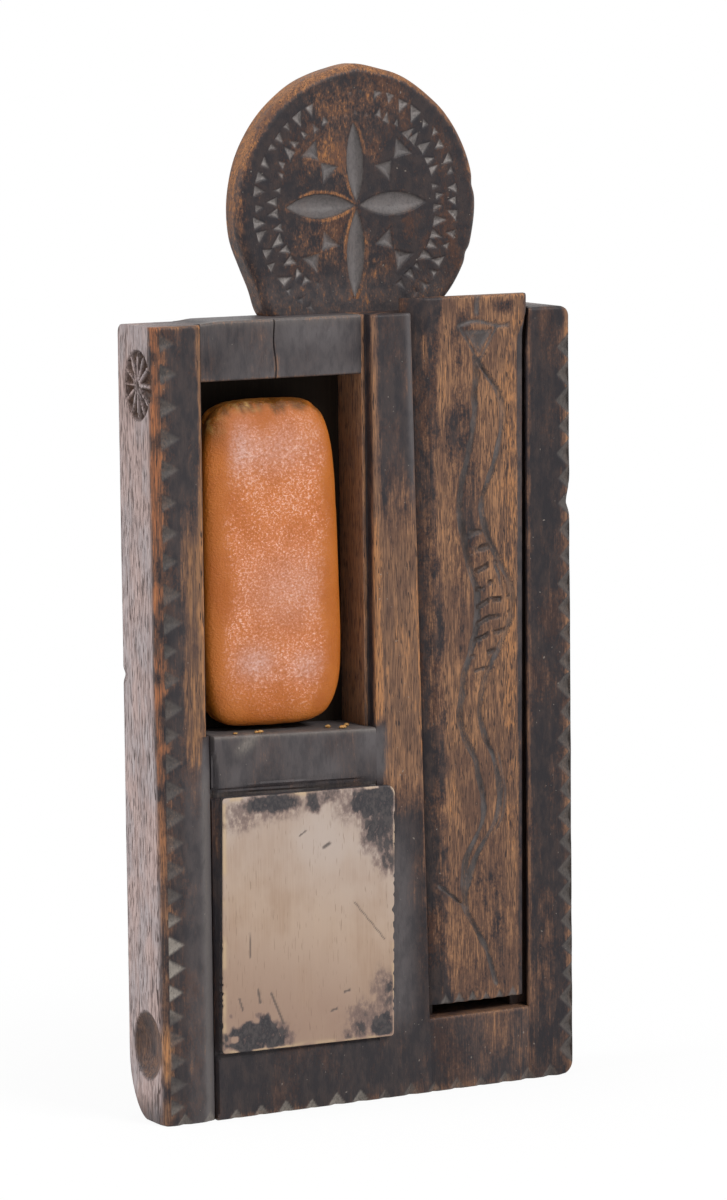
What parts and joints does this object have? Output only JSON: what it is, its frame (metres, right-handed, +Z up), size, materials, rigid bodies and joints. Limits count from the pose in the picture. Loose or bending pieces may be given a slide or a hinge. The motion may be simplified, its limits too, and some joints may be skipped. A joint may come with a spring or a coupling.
{
  "type": "scouring box",
  "caption": "Upright wooden scouring box with a round carved head, a sliding lid over a powder slot, an open pocket for a scouring block and a raised rubbing board.",
  "frame": {"origin": "middle of the base, on the surface that the box stands on", "axes": "+Z up along the grain, -Y out of the carved front, +X towards the lid's side"},
  "size_m": [0.2, 0.0345, 0.4407],
  "materials": {
    "dark_wood": "old dark stain, worn to brown wood on the edges",
    "side_wood": "dry open grain with worn stain",
    "back_wood": "dry, planed, darkened",
    "lid_wood": "stain worn through to brown wood, waxed by handling",
    "bare_wood": "scoured bare, with dark stain left in the corners",
    "brick": "smooth and waxy with a pale bloom",
    "peg_wood": "whittled"
  },
  "bodies": {
    "carcass": {"body_plank": "dark_wood", "left_side": "side_wood", "back_board": "back_wood", "rubbing_board": "bare_wood", "side_dowels": "peg_wood", "back_pegs": "peg_wood"},
    "lid": {"sliding_lid": "lid_wood"},
    "block": {"scouring_block": "brick"}
  },
  "joints": [
    {"name": "lid_slide", "type": "slide", "parent": "carcass", "child": "lid", "axis": [0, 0, 1], "range_m": [-0.005, 0.305]},
    {"name": "block_lift", "type": "slide", "parent": "carcass", "child": "block", "axis": [0, -1, 0], "range_m": [0, 0.045]}
  ]
}
